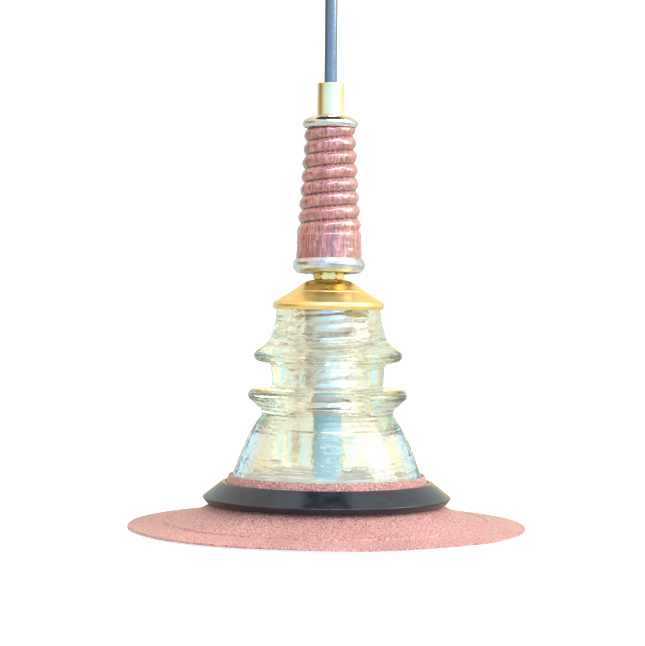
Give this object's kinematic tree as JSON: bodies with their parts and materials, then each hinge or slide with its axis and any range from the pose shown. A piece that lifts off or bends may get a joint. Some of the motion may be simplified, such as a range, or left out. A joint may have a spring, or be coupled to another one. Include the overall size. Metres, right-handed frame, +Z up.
{
  "type": "insulator pendant lamp",
  "caption": "Hanging lamp: a clear pin-type glass insulator under a threaded wooden peg, with a ringed metal hood, cord and ceiling canopy.",
  "frame": {"origin": "centre of the ceiling face of the crossbar, where the lamp is fixed", "axes": "+Z up along the hanging axis, into the ceiling; +X along the crossbar; -Y is the front"},
  "size_m": [0.186, 0.186, 0.2952],
  "materials": {
    "canopy_metal": "satin black enamel",
    "zinc_steel": "zinc plated",
    "ground_green": "green zinc",
    "polished_brass": "polished",
    "chrome_plate": "polished",
    "nylon": "natural nylon",
    "cord_jacket": "smooth black PVC",
    "lead_jacket": "pale wire jacket",
    "stained_wood": "red-brown stain, semi-gloss",
    "clear_glass": "clear pressed glass with a faint green-yellow edge",
    "black_rubber": "matt",
    "white_ceramic": "glazed ceramic",
    "bulb_glass": "clear",
    "bulb_white": "white",
    "led_yellow": "phosphor coat",
    "satin_nickel": "satin nickel plate",
    "hood_coat": "salmon-pink granular coat",
    "black_ring": "satin black"
  },
  "bodies": {
    "ceiling": {"crossbar": "zinc_steel", "canopy": "canopy_metal", "canopy_studs": "zinc_steel", "canopy_nuts": "polished_brass", "ground_screw": "ground_green", "swivel_seat": "polished_brass", "seat_nut": "zinc_steel"},
    "liner": {"swivel_liner": "nylon"},
    "swivel": {"swivel_ball": "polished_brass", "ceiling_bush": "nylon", "cord_clamp": "zinc_steel", "clamp_screw": "zinc_steel", "cord_head": "cord_jacket", "ceiling_leads": "lead_jacket", "cord": "cord_jacket"},
    "lamp": {"cord_tail": "cord_jacket", "lamp_leads": "lead_jacket", "cord_sleeve": "polished_brass", "cord_grip": "nylon", "grip_screw": "polished_brass", "stem": "zinc_steel", "top_ring": "chrome_plate", "wooden_peg": "stained_wood", "bottom_ring": "chrome_plate", "stem_collar": "polished_brass", "stem_nut": "polished_brass", "glass_cap": "polished_brass", "crown_gasket": "black_rubber", "glass_insulator": "clear_glass", "inner_gasket": "nylon", "socket_shell": "satin_nickel", "inner_washer": "zinc_steel", "inner_nut": "zinc_steel", "socket_bracket": "zinc_steel", "lock_nut": "zinc_steel", "lamp_socket": "white_ceramic", "socket_screws": "zinc_steel", "socket_contacts": "polished_brass"},
    "bulb": {"bulb_pins": "zinc_steel", "bulb_base": "bulb_white", "bulb_globe": "bulb_glass", "bulb_strip": "led_yellow"},
    "hood": {"hood": "hood_coat", "hood_ring": "black_ring"}
  },
  "joints": [
    {"name": "swing_front", "type": "hinge", "parent": "ceiling", "child": "liner", "pos_m": [0, 0, -0.029], "axis": [1, 0, 0], "range_deg": [-15, 15]},
    {"name": "swing_side", "type": "hinge", "parent": "liner", "child": "swivel", "pos_m": [0, 0, -0.029], "axis": [0, 1, 0], "range_deg": [-15, 15]},
    {"name": "cord_twist", "type": "hinge", "parent": "swivel", "child": "lamp", "pos_m": [0, 0, -0.0872], "axis": [0, 0, 1], "range_deg": [-90, 90]},
    {"name": "bulb_pull", "type": "slide", "parent": "lamp", "child": "bulb", "axis": [0, 0, -1], "range_m": [0, 0.05]},
    {"name": "hood_lift", "type": "slide", "parent": "lamp", "child": "hood", "axis": [0, 0, 1], "range_m": [0, 0.12]}
  ]
}
